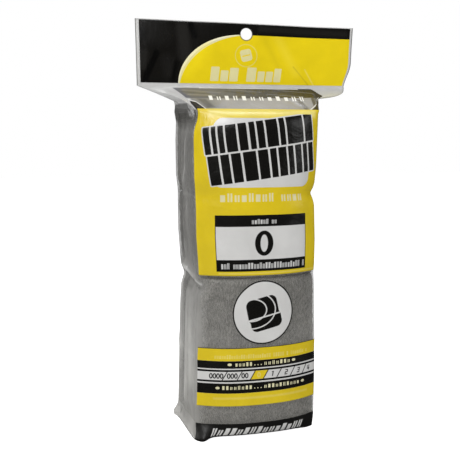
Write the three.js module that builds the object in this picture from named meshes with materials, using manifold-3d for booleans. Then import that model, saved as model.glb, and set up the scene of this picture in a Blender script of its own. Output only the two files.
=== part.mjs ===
// A shop pack of sixteen steel wool pads in a clear film bag with a hang-up header.
// Millimetres, +Z up. The origin is the centre of the bag's flat bottom; the front faces -Y.
//
// The bag is one length of film tube. It is squared off round the pads, whose springy stack makes
// its front and back belly out, and at the top it is pressed flat and sealed into a two-ply header
// with a punched hang hole.
// Inside stand four tiers of four pads, one behind the other. Each pad is a ribbon of steel wool
// wound twice round into a flat roll, so that its folds lie at the top and the bottom.

import * as THREE from "three";
import Module from "manifold-3d";
import { mergeVertices } from "three/addons/utils/BufferGeometryUtils.js";

// ---- driving dimensions ----------------------------------------------------------------------

const BODY_WIDTH = 102; // squared part of the bag, left to right
const BODY_DEPTH = 63; // front to back, along its sides
const CROWN = 14; // how far the front and the back belly out past their upright edges
const BODY_HEIGHT = 264; // floor to the shoulder, over the top pads
const BODY_CORNER = 3; // radius of the upright corners
const FILM = 0.5; // wall of the bag's solid

const HEADER_WIDTH = 180; // half the tube's girth, where it lies flat
const HEADER_BOTTOM = 287; // seal line under the header
const HEADER_TOP = 336;
const HEADER_THICKNESS = 0.9; // two plies of film, sealed together

const HANG_HOLE_RADIUS = 4.75;
const HANG_HOLE_HEIGHT = 327; // centre of the hole above the floor
const VENT_RADIUS = 1.5; // air hole in the back panel
const VENT_HEIGHT = 254;

const TIERS = 4;
const PADS_IN_A_TIER = 4;
const GAP = 0.35; // left between any two pads, and between a pad and the film
const RIBBON_WIDTH = 98; // the pad's length, left to right
const RIBBON_GAP = 0.3; // between the wound layers
const LAYERS = 4; // layers of ribbon across one pad

const CROWN_POWER = 2.5; // 2 would be a plain parabola across; more is fuller towards the edges
const CROWN_RISE = 5; // height over which the belly comes to its full at either end
const FLOOR_CROWN = 0.6; // share of the belly that is left at the floor
const SHOULDER_CROWN = 0.5; // and at the shoulder

// ---- sizes that follow -----------------------------------------------------------------------

const INSIDE_DEPTH = BODY_DEPTH - 2 * FILM;
const PAD_PITCH_Y = (INSIDE_DEPTH - GAP) / PADS_IN_A_TIER;
const PAD_THICKNESS = PAD_PITCH_Y - GAP;
const PAD_PITCH_Z = (BODY_HEIGHT - 2 * FILM - GAP) / TIERS;
const PAD_HEIGHT = PAD_PITCH_Z - GAP;
const RIBBON = (PAD_THICKNESS - (LAYERS - 1) * RIBBON_GAP) / LAYERS;
const LAYER_PITCH = RIBBON + RIBBON_GAP;

const wasm = await Module();
wasm.setup();

// ---- helpers ---------------------------------------------------------------------------------

/** A closed three.js geometry as a manifold-3d solid. */
function solid(geometry) {
  const bare = geometry.clone();
  bare.deleteAttribute("normal");
  bare.deleteAttribute("uv");
  const merged = mergeVertices(bare, 1e-4);
  return new wasm.Manifold(
    new wasm.Mesh({
      numProp: 3,
      vertProperties: merged.attributes.position.array,
      triVerts: new Uint32Array(merged.index.array),
    }),
  );
}

/** A manifold-3d solid as a three.js geometry. */
function geometryOf(body) {
  const { vertProperties, triVerts } = body.getMesh();
  const geometry = new THREE.BufferGeometry();
  geometry.setAttribute("position", new THREE.BufferAttribute(vertProperties, 3));
  geometry.setIndex(new THREE.BufferAttribute(triVerts, 1));
  geometry.computeVertexNormals();
  return geometry;
}

/** A named mesh of one sub-part. */
function piece(name, geometry, material) {
  const mesh = new THREE.Mesh(geometry, material);
  mesh.name = name;
  return mesh;
}

/** Share of the belly between the floor and the shoulder: a quarter round in at either end. */
function crownShare(aboveFloor, belowShoulder) {
  const rounded = (fromEnd, least) => {
    const short = 1 - THREE.MathUtils.clamp(fromEnd / CROWN_RISE, 0, 1);
    return THREE.MathUtils.lerp(least, 1, Math.sqrt(1 - short ** 2));
  };
  return rounded(aboveFloor, FLOOR_CROWN) * rounded(belowShoulder, SHOULDER_CROWN);
}

/** Where y lies in the bellied pack, for a point of the squared one and a share of the belly. */
function bellied(x, y, share) {
  const across = 1 - Math.min(Math.abs(x) / (BODY_WIDTH / 2), 1) ** CROWN_POWER;
  return y * (1 + (CROWN * across * share) / (BODY_DEPTH / 2));
}

// ---- the bag ---------------------------------------------------------------------------------

/**
 * The squared section as a list of { point, share }: share is how far round the girth the point
 * lies, from 0 at the middle of the left side, through 0.5 at the middle of the right side.
 */
function girthPoints(width, depth, corner) {
  const [w, d, r] = [width / 2, depth / 2, corner];
  const outline = new THREE.Path();
  outline.moveTo(-w, 0);
  outline.lineTo(-w, r - d);
  outline.absarc(r - w, r - d, r, Math.PI, 1.5 * Math.PI);
  outline.lineTo(w - r, -d);
  outline.absarc(w - r, r - d, r, -0.5 * Math.PI, 0);
  outline.lineTo(w, d - r);
  outline.absarc(w - r, d - r, r, 0, 0.5 * Math.PI);
  outline.lineTo(r - w, d);
  outline.absarc(r - w, d - r, r, 0.5 * Math.PI, Math.PI);
  outline.lineTo(-w, 0);

  const stepsPerLine = 10;
  const stepsPerCorner = 3;
  const total = outline.getLength();
  const points = [];
  let walked = 0;
  for (const curve of outline.curves) {
    const steps = curve.isLineCurve ? stepsPerLine : stepsPerCorner;
    const length = curve.getLength();
    for (let i = 0; i < steps; i += 1) {
      const share = (walked + (length * i) / steps) / total;
      points.push({ point: curve.getPointAt(i / steps), share });
    }
    walked += length;
  }
  return points;
}

/** Where a point of the girth lies once the tube is pressed flat, width across and ply apart. */
function pressedFlat(share, width, ply) {
  const front = share <= 0.5;
  const across = front ? -0.5 + 2 * share : 1.5 - 2 * share;
  const atFold = Math.abs(Math.abs(across) - 0.5) < 1e-9;
  const away = atFold ? 0 : ply / 2;
  return new THREE.Vector2(across * width, front ? -away : away);
}

/**
 * A closed solid through the given levels, each { z, flat } with flat from 0, bellied round the
 * pads, to 1, pressed flat. It is a cylinder whose rings are moved onto the sections.
 */
function filmSolid(girth, width, ply, levels) {
  const steps = levels.length - 1;
  const floor = levels[0].z;
  const geometry = new THREE.CylinderGeometry(1, 1, steps, girth.length, steps);
  const position = geometry.attributes.position;
  for (let i = 0; i < position.count; i += 1) {
    const [x, y, z] = [position.getX(i), position.getY(i), position.getZ(i)];
    const level = levels[Math.round(y + steps / 2)];
    const turn = Math.atan2(x, z) / (2 * Math.PI);
    const place = Math.round((turn + 1) * girth.length) % girth.length;
    const onAxis = Math.hypot(x, z) < 0.5;
    const { point, share } = girth[place];
    const belly = crownShare(level.z - floor, BODY_HEIGHT - level.z);
    const round = new THREE.Vector2(point.x, bellied(point.x, point.y, belly));
    const section = round.lerp(pressedFlat(share, width, ply), level.flat);
    if (onAxis) section.set(0, 0);
    position.setXYZ(i, section.x, section.y, level.z);
  }
  return solid(geometry);
}

/** A round hole's cutter, through the film from front to back. */
function holeCutter(radius, height, from, to) {
  const cutter = new THREE.CylinderGeometry(radius, radius, to - from, 24);
  cutter.translate(0, (from + to) / 2, height);
  return solid(cutter);
}

/** Levels up the squared part, close together where the belly comes in and goes. */
function bodyLevels(floor) {
  const fromEnd = [0.25, 0.5, 0.75, 1].map((share) => share * CROWN_RISE);
  const falling = fromEnd.map((down) => BODY_HEIGHT - down).reverse();
  return [floor, ...fromEnd, ...falling].map((z) => ({ z, flat: 0 }));
}

/** Levels up the neck, from the shoulder towards the seal line, as far as the tube is flattened. */
function neckLevels(flattest) {
  const steps = 6;
  return Array.from({ length: steps + 1 }, (_, i) => {
    const flat = (flattest * i) / steps;
    return { z: THREE.MathUtils.lerp(BODY_HEIGHT, HEADER_BOTTOM, flat), flat };
  });
}

function makeBag() {
  const outside = filmSolid(
    girthPoints(BODY_WIDTH, BODY_DEPTH, BODY_CORNER),
    HEADER_WIDTH,
    HEADER_THICKNESS,
    [...bodyLevels(0), ...neckLevels(1), { z: HEADER_TOP, flat: 1 }],
  );
  const nearSeal = 0.95; // the two plies close up just under the seal line
  const sealWidth = 2; // weld along each edge of the flat tube
  const inside = filmSolid(
    girthPoints(BODY_WIDTH - 2 * FILM, BODY_DEPTH - 2 * FILM, BODY_CORNER - FILM),
    HEADER_WIDTH - 2 * sealWidth,
    0,
    [...bodyLevels(FILM), ...neckLevels(nearSeal)],
  );
  const reach = 5; // how far a cutter runs past the film
  const hangHole = holeCutter(HANG_HOLE_RADIUS, HANG_HOLE_HEIGHT, -reach, reach);
  const back = bellied(0, BODY_DEPTH / 2, 1);
  const vent = holeCutter(VENT_RADIUS, VENT_HEIGHT, back - 2 * FILM, back + reach);
  return geometryOf(outside.subtract(inside).subtract(hangHole).subtract(vent));
}

// ---- a pad -----------------------------------------------------------------------------------

/** The ribbon's middle line as a path in the pad's section, x across the layers and y up. */
function windingLine() {
  const outerFold = 1.5 * LAYER_PITCH; // radius of the fold over the top
  const innerFold = 0.5 * LAYER_PITCH; // radius of the first fold, inside it
  const lowerFold = LAYER_PITCH; // radius of the fold underneath, off centre
  const top = PAD_HEIGHT / 2 - outerFold - RIBBON / 2;
  const bottom = lowerFold + RIBBON / 2 - PAD_HEIGHT / 2;
  const tuckedEnd = 3; // how much shorter the hidden end of the ribbon is
  const looseEnd = 2; // and the end that shows on the back

  const line = new THREE.CurvePath();
  const straight = (x0, y0, x1, y1) =>
    line.add(new THREE.LineCurve(new THREE.Vector2(x0, y0), new THREE.Vector2(x1, y1)));
  const fold = (x, y, radius, start, end) =>
    line.add(new THREE.EllipseCurve(x, y, radius, radius, start, end, true, 0));

  straight(-innerFold, bottom + tuckedEnd, -innerFold, top);
  fold(0, top, innerFold, Math.PI, 0);
  straight(innerFold, top, innerFold, bottom);
  fold(-innerFold, bottom, lowerFold, 0, -Math.PI);
  straight(-outerFold, bottom, -outerFold, top);
  fold(0, top, outerFold, Math.PI, 0);
  straight(outerFold, top, outerFold, bottom - lowerFold + looseEnd);
  return line;
}

/** The pad before it is pressed into the pack: the ribbon's section, run along its width. */
function makePad() {
  const stepsPerFold = 5;
  const stepsAlong = 6;
  const left = [];
  const right = [];
  for (const curve of windingLine().curves) {
    const steps = curve.isLineCurve ? 1 : stepsPerFold;
    for (let i = 0; i <= steps; i += 1) {
      if (i === 0 && left.length) continue;
      const at = curve.getPoint(i / steps);
      const along = curve.getTangent(i / steps);
      const side = new THREE.Vector2(-along.y, along.x).multiplyScalar(RIBBON / 2);
      left.push(at.clone().add(side));
      right.push(at.clone().sub(side));
    }
  }
  const outline = new THREE.Shape([...right, ...left.reverse()]);
  const geometry = new THREE.ExtrudeGeometry(outline, {
    depth: RIBBON_WIDTH,
    steps: stepsAlong,
    bevelEnabled: false,
  });
  geometry.translate(0, 0, -RIBBON_WIDTH / 2);
  // Section x becomes the part's Y, section y its Z, and the run along the ribbon's width its X.
  const turn = new THREE.Matrix4().makeBasis(
    new THREE.Vector3(0, 1, 0),
    new THREE.Vector3(0, 0, 1),
    new THREE.Vector3(1, 0, 0),
  );
  return geometry.applyMatrix4(turn);
}

/** The pad as it lies in the bellied pack, with its middle at the given place. */
function pressedPad(pad, place) {
  const geometry = pad.clone();
  const position = geometry.attributes.position;
  for (let i = 0; i < position.count; i += 1) {
    const y = position.getY(i) + place.y;
    position.setY(i, bellied(position.getX(i), y, 1) - place.y);
  }
  geometry.computeVertexNormals();
  return geometry;
}

// ---- the whole pack --------------------------------------------------------------------------

const film = new THREE.MeshStandardMaterial({
  name: "clear film",
  color: 0xd9dcda,
  roughness: 0.18,
  metalness: 0,
  transparent: true,
  opacity: 0.35,
});
const wool = new THREE.MeshStandardMaterial({
  name: "steel wool",
  color: 0x85837c,
  roughness: 0.6,
  metalness: 0.5,
});

const pack = new THREE.Group();
pack.name = "steel_wool_pad_pack";
pack.add(piece("bag", makeBag(), film));

const padGeometry = makePad();
for (let tier = 0; tier < TIERS; tier += 1) {
  for (let row = 0; row < PADS_IN_A_TIER; row += 1) {
    const number = String(tier * PADS_IN_A_TIER + row + 1).padStart(2, "0");
    const place = new THREE.Vector3(
      0,
      (row - (PADS_IN_A_TIER - 1) / 2) * PAD_PITCH_Y,
      FILM + GAP + PAD_HEIGHT / 2 + tier * PAD_PITCH_Z,
    );
    const pad = piece(`pad_${number}`, pressedPad(padGeometry, place), wool);
    pad.position.copy(place);
    pack.add(pad);
  }
}

export default pack;
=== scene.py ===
# %% [markdown]
# # A pack of steel wool pads
#
# A clear film bag hangs from a flat printed header and holds sixteen folded pads of steel wool.
# The lesson builds it from the inside out: the frame and the camera first, then the wool, then the
# film tube that is drawn round it, its print, and the light. Lengths are in millimetres, and
# `MM` turns them into Blender's metres.

# %% Load the frame
import math

import bmesh
import bpy
import numpy as np
from mathutils import Matrix, Vector, noise


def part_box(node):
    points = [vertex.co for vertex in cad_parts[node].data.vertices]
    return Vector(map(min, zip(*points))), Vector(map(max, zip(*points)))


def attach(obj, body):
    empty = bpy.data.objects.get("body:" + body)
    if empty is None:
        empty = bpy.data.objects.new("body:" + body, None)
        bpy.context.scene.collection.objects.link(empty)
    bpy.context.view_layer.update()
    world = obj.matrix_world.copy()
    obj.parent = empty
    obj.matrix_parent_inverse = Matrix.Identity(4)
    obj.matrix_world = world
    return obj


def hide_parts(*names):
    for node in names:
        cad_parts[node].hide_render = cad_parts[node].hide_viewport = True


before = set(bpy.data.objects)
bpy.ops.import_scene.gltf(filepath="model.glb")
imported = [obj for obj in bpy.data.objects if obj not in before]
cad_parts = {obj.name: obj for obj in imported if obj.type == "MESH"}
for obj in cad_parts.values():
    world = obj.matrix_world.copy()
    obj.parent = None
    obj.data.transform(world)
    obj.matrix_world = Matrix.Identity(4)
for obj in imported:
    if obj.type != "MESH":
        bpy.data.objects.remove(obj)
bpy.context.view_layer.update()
MM = 0.001


def add_object(name, data):
    made = bpy.data.objects.new(name, data)
    bpy.context.scene.collection.objects.link(made)
    return made



# %% [markdown]
# ## The camera
#
# A pack shot is taken with a short telephoto lens, so that the upright edges stay nearly parallel.
# The camera stands to the front left and a little above the header's foot. Its place is worked
# out backwards from the point that it looks at, which keeps the framing easy to change.

# %% Camera
TURN = math.radians(16.44)  # how far left of the front the camera stands
TILT = math.radians(6.73)  # how far it looks down
ROLL = math.radians(0.15)
DISTANCE = 681.1
AIM_UP = 170.0
RIGHTWARD, UPWARD = 12.8, 4.8  # the pack stands a little right of and above the middle of the frame

ahead = Vector(
    (math.sin(TURN) * math.cos(TILT), math.cos(TURN) * math.cos(TILT), -math.sin(TILT))
)
right = Vector((math.cos(TURN), -math.sin(TURN), 0.0))
right = (Matrix.Rotation(-ROLL, 3, ahead) @ right).normalized()
above = right.cross(ahead)

camera_data = bpy.data.cameras.new("camera")
camera_data.sensor_width = 36.0
camera_data.lens = 63.2
camera_data.clip_start = 0.01
camera = add_object("camera", camera_data)
place = Vector((0, 0, AIM_UP)) - ahead * DISTANCE - right * RIGHTWARD - above * UPWARD
turned = Matrix((right, above, -ahead)).transposed().to_4x4()
camera.matrix_world = Matrix.Translation(place * MM) @ turned
bpy.context.scene.camera = camera
print("camera at", [round(c) for c in place], "mm")

# %% [markdown]
# ## Sizes
#
# The header and the tiers of pads are read from the frame. The film tube has its own measure:
# how far round it a point lies, and how far up. Both stay the same when the film is folded, so
# they are what the print is laid out in. The front of the body is not flat: the springy stack
# makes it belly out, and the width of film over the belly is the length of that curve.

# %% Sizes of the pack
bag_high = np.array(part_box("bag")[1]) / MM
HALF_ROUND = bag_high[0]  # half of the film from the middle of the front to the side fold
TOP = bag_high[2]
BELLY = 14.0  # how far the front and the back stand out at the middle
BELLY_POWER = 2.5
HALF_WIDTH = 51.0
SIDE_HALF_DEPTH = bag_high[1] - BELLY
SHOULDER = 264.0
SEAL = 284.0
SEAL_UP = 309.0  # the seal line, measured up the film
HOLE_UP, HOLE_RADIUS = 327.0, 4.75

PAD_NAMES = [f"pad_{number:02d}" for number in range(1, 17)]
PADS_IN_A_TIER = 4
TIER_JOINTS = [
    (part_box(PAD_NAMES[k - 1])[1][2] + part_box(PAD_NAMES[k])[0][2]) / 2 / MM for k in (4, 8, 12)
]

curve_across = np.linspace(0.0, HALF_WIDTH, 400)
curve_out = BELLY * (1 - (curve_across / HALF_WIDTH) ** BELLY_POWER)
steps = np.hypot(np.diff(curve_across), np.diff(curve_out))
curve_length = np.concatenate([[0.0], np.cumsum(steps)])
HALF_PANEL = curve_length[-1]  # film from the middle of the front to its upright edge
HALF_SIDE = HALF_ROUND - HALF_PANEL
print(f"front panel {2 * HALF_PANEL:.1f} mm of film, each side {2 * HALF_SIDE:.1f} mm")


def belly_at(x):
    """Share of the belly at a distance across the front."""
    return 1 - np.minimum(np.abs(x) / HALF_WIDTH, 1) ** BELLY_POWER


def quarter_round(distance, radius):
    """0 at the edge and 1 from one radius in, along a quarter of a circle."""
    return np.sqrt(1 - (1 - np.clip(distance / radius, 0, 1)) ** 2)


def hump(away, width, power=2):
    """1 where away is 0, fading to 0 on both sides."""
    return np.exp(-((away / width) ** power))


def smooth_step(low, high, value):
    t = np.clip((value - low) / (high - low), 0, 1)
    return t * t * (3 - 2 * t)


# %% [markdown]
# The stack is not a clean block. Each side has its own outline up the height: wide at the foot,
# nipped in where two tiers meet and easing out again above. The film and the wool both
# follow the same outline, so the wool never comes through the film.

# %% Outlines of the two sides, as height and half width
LEFT_OUTLINE = [
    (0, 53.4), (6, 52.0), (60, 50.7), (100, 49.8), (117, 48.8), (126, 46.4), (134, 49.0),
    (165, 51.2), (198, 51.6), (212, 52.8), (240, 53.2), (256, 52.6), (270, 55.0), (340, 55.0),
]
RIGHT_OUTLINE = [
    (0, 51.8), (6, 52.0), (66, 52.4), (100, 51.5), (131, 50.8), (160, 51.0), (188, 50.0),
    (197, 48.4), (206, 50.0), (220, 51.2), (240, 51.8), (262, 52.4), (274, 57.0), (340, 57.0),
]


def half_width(side, z):
    at_left, at_right = (np.interp(z, *zip(*line)) for line in (LEFT_OUTLINE, RIGHT_OUTLINE))
    return np.where(side < 0, at_left, at_right)


FLOOR_ROUND, SHOULDER_ROUND = 12.0, 15.0  # heights over which the belly eases in


def belly_share(z):
    """Share of the belly at a height: less at the floor and where the neck begins."""
    share = 0.24 + 0.76 * quarter_round(z, FLOOR_ROUND)
    return share * (0.3 + 0.7 * quarter_round(SHOULDER - z, SHOULDER_ROUND))


def between_tiers(z):
    """1 at the height of each joint between two tiers, easing to 0 away from it."""
    return sum(hump(z - joint, 6.0) for joint in TIER_JOINTS)


def drawn_in(z):
    """How far the front's left corner is pulled toward the middle below the neck."""
    return 4.2 * smooth_step(246, SHOULDER, z)


# %% [markdown]
# ## Wiring nodes by hand
#
# Procedural finishes are small sums of masks and noises. A thin helper that adds a node, sets its
# settings and wires numbers or outputs into it keeps each finish readable. An output is wrapped in
# a class that knows arithmetic, so a sum of masks is written as a sum.

# %% A helper for node trees
class Value:
    """A node's output. Arithmetic on it adds math nodes to its tree."""

    def __init__(self, tree, socket):
        self.tree, self.socket = tree, socket

    def __add__(self, other):
        return self.tree.math("ADD", self, other)

    def __sub__(self, other):
        return self.tree.math("SUBTRACT", self, other)

    def __rsub__(self, other):
        return self.tree.math("SUBTRACT", other, self)

    def __mul__(self, other):
        return self.tree.math("MULTIPLY", self, other)

    def __truediv__(self, other):
        return self.tree.math("DIVIDE", self, other)

    def __rtruediv__(self, other):
        return self.tree.math("DIVIDE", other, self)

    def __abs__(self):
        return self.tree.math("ABSOLUTE", self)


class Tree:
    """Adds nodes to a node tree. What goes into them is a Value, a number or a tuple."""

    def __init__(self, tree):
        self.tree = tree

    def fill(self, node, values):
        for key, value in values.items():
            if isinstance(value, Value):
                self.tree.links.new(value.socket, node.inputs[key])
            else:
                node.inputs[key].default_value = value

    def node(self, kind, values=None, output=0, **settings):
        """Adds a node and returns one of its outputs, or a list of those named in a tuple."""
        made = self.tree.nodes.new(kind)
        for name, setting in settings.items():
            setattr(made, name, setting)
        self.fill(made, values or {})
        if isinstance(output, tuple):
            return [Value(self, made.outputs[key]) for key in output]
        return Value(self, made.outputs[output])

    def math(self, operation, *values, clamp=False):
        values = dict(enumerate(values))
        return self.node("ShaderNodeMath", values, operation=operation, use_clamp=clamp)

    def colour(self, factor, a, b):
        """Colour a where factor is 0 and colour b where it is 1."""
        return self.node("ShaderNodeMix", {0: factor, 6: a, 7: b}, 2, data_type="RGBA")

    def scaled(self, colour, factor):
        return self.node("ShaderNodeVectorMath", {0: colour, "Scale": factor}, operation="SCALE")

    def map(self, value, low, high, to_low=0.0, to_high=1.0):
        values = dict(enumerate((value, low, high, to_low, to_high)))
        return self.node("ShaderNodeMapRange", values)

    def noise(self, place, scale, detail, roughness=0.5, distortion=0.0):
        values = {"Vector": place, "Scale": scale, "Detail": detail}
        values.update({"Roughness": roughness, "Distortion": distortion})
        return self.node("ShaderNodeTexNoise", values)

    def bump(self, height, strength, distance):
        values = {"Strength": strength, "Distance": distance, "Height": height}
        return self.node("ShaderNodeBump", values)

    def give(self, **values):
        """Ends a node group: what it puts out, all numbers."""
        for title in values:
            self.tree.interface.new_socket(title, in_out="OUTPUT", socket_type="NodeSocketFloat")
        self.node("NodeGroupOutput", values, ())


def new_group(name, inputs, kind="NodeSocketFloat"):
    """An empty node group, its Tree, and its inputs, which are all of one kind."""
    group = bpy.data.node_groups.new(name, "ShaderNodeTree")
    for title in inputs:
        group.interface.new_socket(title, in_out="INPUT", socket_type=kind)
    tree = Tree(group)
    return group, tree, tree.node("NodeGroupInput", {}, tuple(inputs))


def new_material(name):
    """A material with a bare Principled BSDF, its Tree and that shader."""
    material = bpy.data.materials.new(name)
    material.use_nodes = True
    return material, Tree(material.node_tree), material.node_tree.nodes["Principled BSDF"]


# %% [markdown]
# ## Steel wool
#
# Steel wool is a felt of hair-thin steel shavings. They mostly run along the ribbon, so the finish
# is noise drawn out along the height, crossed by a second, turned set, over a coarse mottling
# where the felt is thicker or thinner. The group is used for colour, gloss and relief at once.

# %% Fibre felt, as a node group
FIBRE_SCALE, MOTTLE_SCALE = 1300.0, 110.0  # how many to the metre, about


def make_fibre_group():
    group, tree, (place,) = new_group("fibre felt", ["Place"], "NodeSocketVector")
    strands = []
    for turn, stretch, detail in ((0.1, 0.28, 6.0), (0.8, 0.40, 5.0), (-1.1, 0.45, 4.0)):
        values = {0: place, 2: (0.0, turn, 0.2 * turn), 3: (1, 1, stretch)}
        turned = tree.node("ShaderNodeMapping", values)
        made = tree.noise(turned, FIBRE_SCALE, detail, distortion=0.6)
        strands.append(tree.map(made, 0.36, 0.66))
    crossed = tree.math("MAXIMUM", strands[1], strands[2])
    felt = tree.noise(place, MOTTLE_SCALE, 4.0)
    tree.give(Fibre=strands[0] * 0.6 + crossed * 0.4, Felt=tree.map(felt, 0.3, 0.7))
    return group


FIBRES = make_fibre_group()


# %% The wool's material
WOOL_DARK, WOOL_LIGHT = (0.072, 0.069, 0.061, 1), (0.42, 0.407, 0.372, 1)


def make_wool():
    material, tree, shader = new_material("steel wool")
    place = tree.node("ShaderNodeTexCoord", {}, "Object")
    outputs = ("Fibre", "Felt")
    fibre, felt = tree.node("ShaderNodeGroup", {"Place": place}, outputs, node_tree=FIBRES)
    strand = tree.colour(fibre, WOOL_DARK, WOOL_LIGHT)
    tree.fill(shader, {
        "Base Color": tree.scaled(strand, tree.map(felt, 0, 1, 0.78, 1.12)),
        "Roughness": tree.map(fibre, 0, 1, 0.62, 0.38),
        "Normal": tree.bump(fibre * 0.7 + felt, 0.75, 0.0006),
        "Metallic": 0.45,
    })
    return material


WOOL = make_wool()
print("wool:", len(WOOL.node_tree.nodes), "nodes, with", len(FIBRES.nodes), "in its felt")

# %% [markdown]
# ## A pad
#
# A pad is a ribbon of felted wool wound twice round into a flat roll. The section is drawn as the
# line that the ribbon follows, straight runs joined by half-turns, then given its thickness and
# carried across the pad. Small noises swell and fray it, and the same stretch that makes the pack
# belly out is laid on every pad, so they nest as they do in CAD.

# %% The ribbon's line in a pad's section
RIBBON_STEP = 1.6  # spacing of points along the ribbon


def ribbon_line(thickness, height):
    """Points (y, z) down the middle of the ribbon, its direction at each, and its thickness."""
    pitch = thickness / 4
    outer, inner, lower = 1.5 * pitch, 0.5 * pitch, pitch
    top = height / 2 - outer - pitch / 2
    bottom = lower + pitch / 2 - height / 2
    runs = [
        ("line", (-inner, bottom + 3), (-inner, top)),
        ("turn", (0, top), inner, math.pi, 0.0),
        ("line", (inner, top), (inner, bottom)),
        ("turn", (-inner, bottom), lower, 0.0, -math.pi),
        ("line", (-outer, bottom), (-outer, top)),
        ("turn", (0, top), outer, math.pi, 0.0),
        ("line", (outer, top), (outer, bottom - lower + 2)),
    ]
    points, ways = [], []
    for run in runs:
        if run[0] == "line":
            start, end = np.array(run[1]), np.array(run[2])
            length = np.linalg.norm(end - start)
            share = np.linspace(0, 1, max(2, int(length / RIBBON_STEP)), endpoint=False)
            points += [start + (end - start) * s for s in share]
            ways += [(end - start) / length] * len(share)
        else:
            centre, radius, first, last = np.array(run[1]), run[2], run[3], run[4]
            count = max(5, int(math.pi * radius / RIBBON_STEP))
            for angle in np.linspace(first, last, count, endpoint=False):
                points.append(centre + radius * np.array((math.cos(angle), math.sin(angle))))
                ways.append(np.array((math.sin(angle), -math.cos(angle))))
    points.append(np.array(runs[-1][2]))
    ways.append(ways[-1])
    return np.array(points), np.array(ways), pitch


# %% Steps of a pad's mesh
PAD_STEP = 2.0  # spacing of points across the pad
PAD_HALF, WIDEST = 49.4, 53.0  # half the width of a pad, and of the widest stack
FILM_GAP = 1.7  # between the wool's ends and the film
END_LAYERS = (0.5, 0.0, -0.5)  # points through the thickness of the ribbon at its ends
ROUGHNESSES = ((16, 0.5), (4.5, 0.34), (2.2, 0.45))  # two swells and a fray: size and depth
noise.seed_set(1)  # without a seed, this noise starts from the time of day


def ribbon_section(squared, height):
    """The ring of points round the ribbon's section: up one face, over the end, down the other
    face. Also how many points its line has."""
    line, ways, pitch = ribbon_line(squared - 0.25, height)
    normal = np.stack([-ways[:, 1], ways[:, 0]], 1)
    half = pitch * 0.49
    ring = list(line + normal * half)
    ring += [line[-1] + normal[-1] * half * k for k in END_LAYERS]
    ring += list((line - normal * half)[::-1])
    ring += [line[0] - normal[0] * half * k for k in END_LAYERS]
    ring = np.array(ring)
    # The pads are pressed together, which squares the rounded ends of the roll.
    near_end = smooth_step(height / 2 - 14, height / 2 - 3, np.abs(ring[:, 1]))
    ring[:, 1] += np.sign(ring[:, 1]) * 4.2 * near_end * (2 * ring[:, 0] / squared) ** 2
    return ring, len(line)


def press_in_stack(grid):
    """Bellies out a swept pad with the others, and fits it between the film's outlines."""
    x, y, up = grid[..., 0], grid[..., 1], np.clip(grid[..., 2], 0, None)
    y *= 1 + BELLY * belly_at(x) * belly_share(up) / SIDE_HALF_DEPTH
    near_edge = smooth_step(15.0, HALF_WIDTH, np.abs(x))
    y *= 1 - 0.075 * between_tiers(up) * near_edge
    near_corner = smooth_step(12.0, 30.0, -y) * smooth_step(8.0, 45.0, -x)
    x *= (np.minimum(half_width(x, up), WIDEST) - FILM_GAP) / PAD_HALF
    x += 1.15 * drawn_in(up) * near_corner


def roughen(verts, seed):
    """Swells the felt everywhere and frays it at the pad's two ends."""
    shift = Vector((seed * 31.7, seed * 17.3, seed * 5.9))
    for i, point in enumerate(verts):
        p = Vector(point)
        rough = [noise.noise_vector(p / size + shift) * depth for size, depth in ROUGHNESSES]
        swell = rough[0] + rough[1]
        fray = rough[2] * smooth_step(44.0, 49.0, abs(p.x))
        verts[i] = (p.x + swell.x + 1.6 * fray.x, p.y + 0.8 * swell.y + fray.y, p.z + 0.5 * swell.z)


def swept_faces(rows, n, m):
    """Quads between rows of n points, and both ends closed across the ribbon's m points."""
    faces = []
    for i in range(rows - 1):
        for j in range(n):
            k = (j + 1) % n
            faces.append((i * n + j, i * n + k, (i + 1) * n + k, (i + 1) * n + j))
    end_face = [(j, j + 1, 2 * m + 1 - j, 2 * m + 2 - j) for j in range(m - 1)]
    end_face.append((m - 1, m, m + 1, m + 2, m + 3))
    end_face.append((0, 2 * m + 2, 2 * m + 3, 2 * m + 4, 2 * m + 5))
    faces += [tuple(reversed(face)) for face in end_face]
    return faces + [tuple((rows - 1) * n + v for v in face) for face in end_face]


# %% The sixteen pads
def make_pad(name, seed):
    low, high = (np.array(corner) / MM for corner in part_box(name))
    row = PAD_NAMES.index(name) % PADS_IN_A_TIER
    squared = 2 * (SIDE_HALF_DEPTH - 1.5) / PADS_IN_A_TIER
    height = high[2] - low[2] + 0.2  # the tiers press into each other a little
    ring, line_points = ribbon_section(squared, height)
    across = np.linspace(low[0], high[0], int((high[0] - low[0]) / PAD_STEP) + 1)
    grid = np.zeros((len(across), len(ring), 3))
    grid[..., 0] = across[:, None]
    grid[..., 1] = ring[None, :, 0] + (row - (PADS_IN_A_TIER - 1) / 2) * squared
    grid[..., 2] = ring[None, :, 1] + (low[2] + high[2]) / 2
    press_in_stack(grid)
    verts = grid.reshape(-1, 3)
    roughen(verts, seed)

    mesh = bpy.data.meshes.new(name)
    faces = swept_faces(len(across), len(ring), line_points)
    mesh.from_pydata((verts * MM).tolist(), [], faces)
    mesh.validate()
    mesh.shade_smooth()
    pad = add_object(f"wool_{name}", mesh)
    mesh.materials.append(WOOL)
    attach(pad, "root")
    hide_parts(name)
    return pad


pads = [make_pad(name, seed) for seed, name in enumerate(PAD_NAMES)]
print(len(pads), "pads of", len(pads[0].data.polygons), "faces")

# %% [markdown]
# ## The film tube
#
# Film can't stretch much, so the bag is built the way it is made: one tube, laid out by how far
# round and how far up it a point lies. A function says where each point of the tube goes, and the
# folds come from that function too. The bottom is folded under to a seal, the body is drawn
# round the pads and dips between the tiers, and the neck is gathered into the flat header.

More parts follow.
